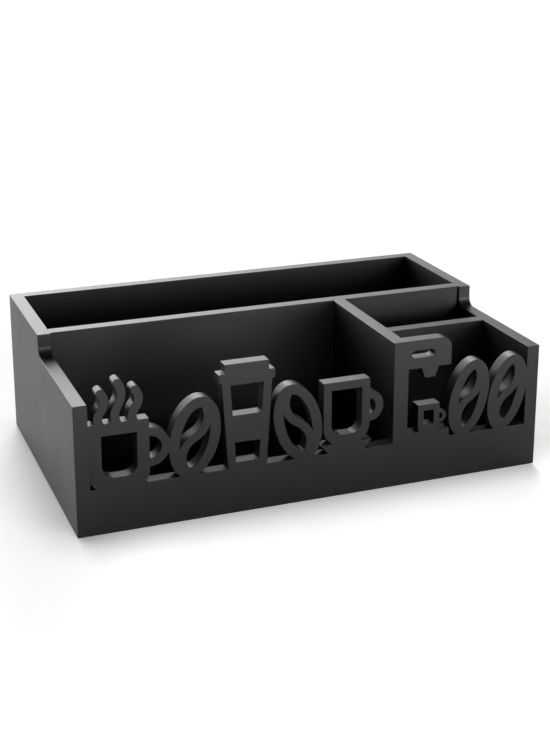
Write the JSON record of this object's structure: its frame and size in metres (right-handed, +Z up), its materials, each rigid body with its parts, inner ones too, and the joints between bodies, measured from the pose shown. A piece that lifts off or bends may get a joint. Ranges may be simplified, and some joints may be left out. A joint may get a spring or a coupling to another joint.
{
  "type": "coffee station organizer",
  "caption": "Open countertop organizer of painted boards with a tall rear bay, three lower front bays and a sawn fretwork front of cups and beans.",
  "frame": {"origin": "middle of the footprint, on the worktop, level with the undersides of the pads", "axes": "+X along the length to the viewer's right, +Y towards the tall rear bay, +Z up"},
  "size_m": [0.36, 0.222, 0.114],
  "materials": {
    "painted_board": "satin black paint over board",
    "beech": "bare beech",
    "zinc_screw": "zinc plated",
    "rubber_pad": "matte black"
  },
  "bodies": {
    "root": {"base_panel": "painted_board", "left_side_panel": "painted_board", "right_side_panel": "painted_board", "back_panel": "painted_board", "front_panel": "painted_board", "long_divider": "painted_board", "cross_divider": "painted_board", "short_divider": "painted_board", "front_left_dowels": "beech", "front_right_dowels": "beech", "back_left_dowels": "beech", "back_right_dowels": "beech", "cross_front_dowels": "beech", "long_divider_screws": "zinc_screw", "cross_divider_screw": "zinc_screw", "short_divider_screw": "zinc_screw", "pad_front_left": "rubber_pad", "pad_front_right": "rubber_pad", "pad_rear_left": "rubber_pad", "pad_rear_right": "rubber_pad"}
  },
  "joints": []
}
